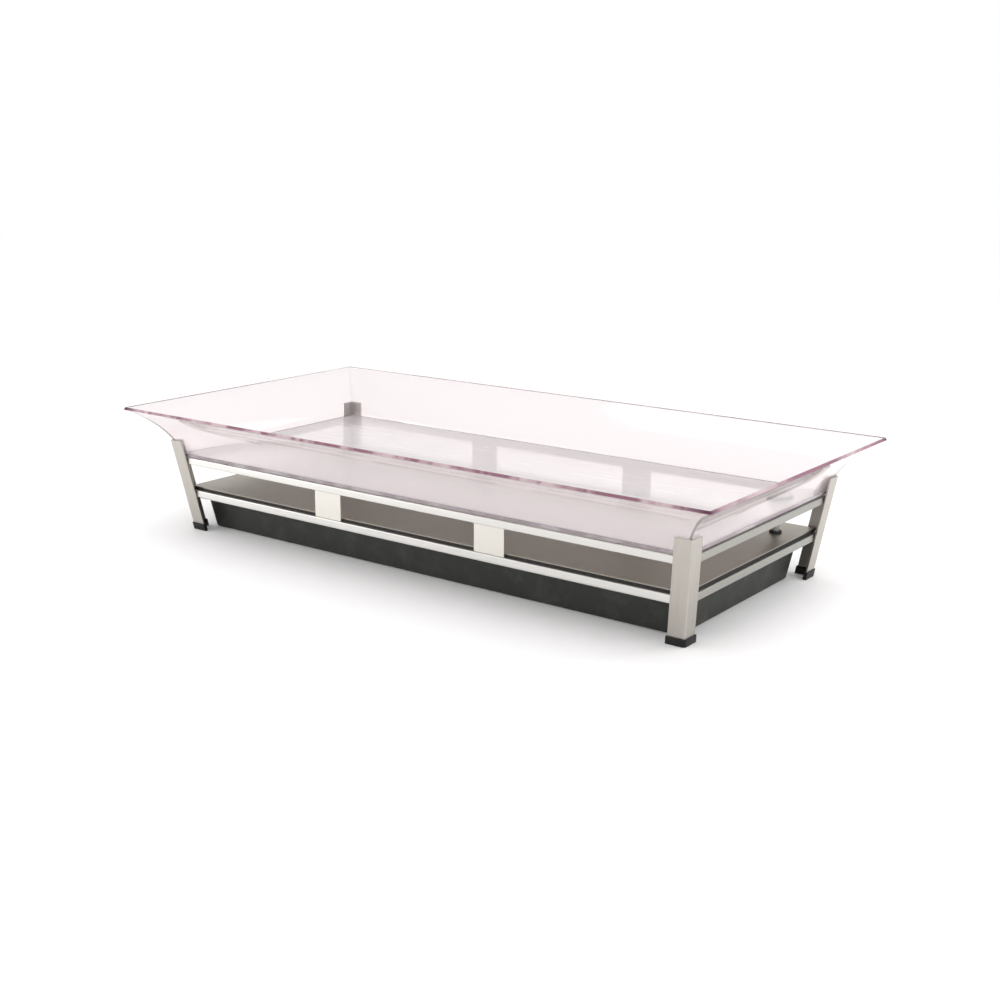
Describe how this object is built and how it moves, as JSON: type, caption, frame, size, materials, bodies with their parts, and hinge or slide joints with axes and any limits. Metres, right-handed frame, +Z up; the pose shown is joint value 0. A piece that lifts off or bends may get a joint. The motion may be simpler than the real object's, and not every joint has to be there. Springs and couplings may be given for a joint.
{
  "type": "ice display pedestal",
  "caption": "Long clear tray with flared walls for a bed of ice, on a splayed steel frame with a shelf, a corner drain and a pull-out drain pan.",
  "frame": {"origin": "on the table, under the middle of the frame and tray", "axes": "+Z up, +X along the length towards the end with the drain, -Y to the front"},
  "size_m": [1.22, 0.61, 0.2365],
  "materials": {
    "stainless_tube": "satin, brushed along the tube",
    "stainless_sheet": "satin, brushed one way; legs along their length",
    "clear_acrylic": "clear, polished, faint lilac with a deep pink-purple edge",
    "pan_plastic": "black, fine grain",
    "black_plastic": "black, moulded",
    "black_rubber": "matte",
    "clear_rubber": "clear, soft, slightly cloudy"
  },
  "bodies": {
    "frame": {"leg_front_left": "stainless_sheet", "foot_front_left": "black_plastic", "brace_front_left": "stainless_sheet", "leg_front_right": "stainless_sheet", "foot_front_right": "black_plastic", "brace_front_right": "stainless_sheet", "leg_back_left": "stainless_sheet", "foot_back_left": "black_plastic", "brace_back_left": "stainless_sheet", "leg_back_right": "stainless_sheet", "foot_back_right": "black_plastic", "brace_back_right": "stainless_sheet", "upper_rail_front": "stainless_tube", "lower_rail_front": "stainless_tube", "upper_rail_back": "stainless_tube", "lower_rail_back": "stainless_tube", "upper_rail_left": "stainless_tube", "lower_rail_left": "stainless_tube", "upper_rail_right": "stainless_tube", "lower_rail_right": "stainless_tube", "tray_bumpers": "clear_rubber", "shelf": "stainless_sheet", "shelf_strips": "black_rubber", "shelf_grommet": "black_rubber", "runner_front": "stainless_sheet", "runner_back": "stainless_sheet", "pan_stop": "stainless_sheet"},
    "tray": {"tray_floor": "clear_acrylic", "tray_wall_front": "clear_acrylic", "tray_wall_back": "clear_acrylic", "tray_wall_left": "clear_acrylic", "tray_wall_right": "clear_acrylic", "drain_body": "black_plastic", "drain_gasket": "black_rubber", "drain_washer": "black_rubber", "drain_locknut": "black_plastic", "drain_tailpiece": "clear_rubber"},
    "strainer": {"drain_strainer": "stainless_sheet"},
    "pan": {"drain_pan": "pan_plastic"}
  },
  "joints": [
    {"name": "tray_lift", "type": "slide", "parent": "frame", "child": "tray", "axis": [0, 0, 1], "range_m": [0, 0.25]},
    {"name": "strainer_lift", "type": "slide", "parent": "tray", "child": "strainer", "axis": [0, 0, 1], "range_m": [0, 0.12]},
    {"name": "pan_slide", "type": "slide", "parent": "frame", "child": "pan", "axis": [1, 0, 0], "range_m": [0, 1.13]}
  ]
}
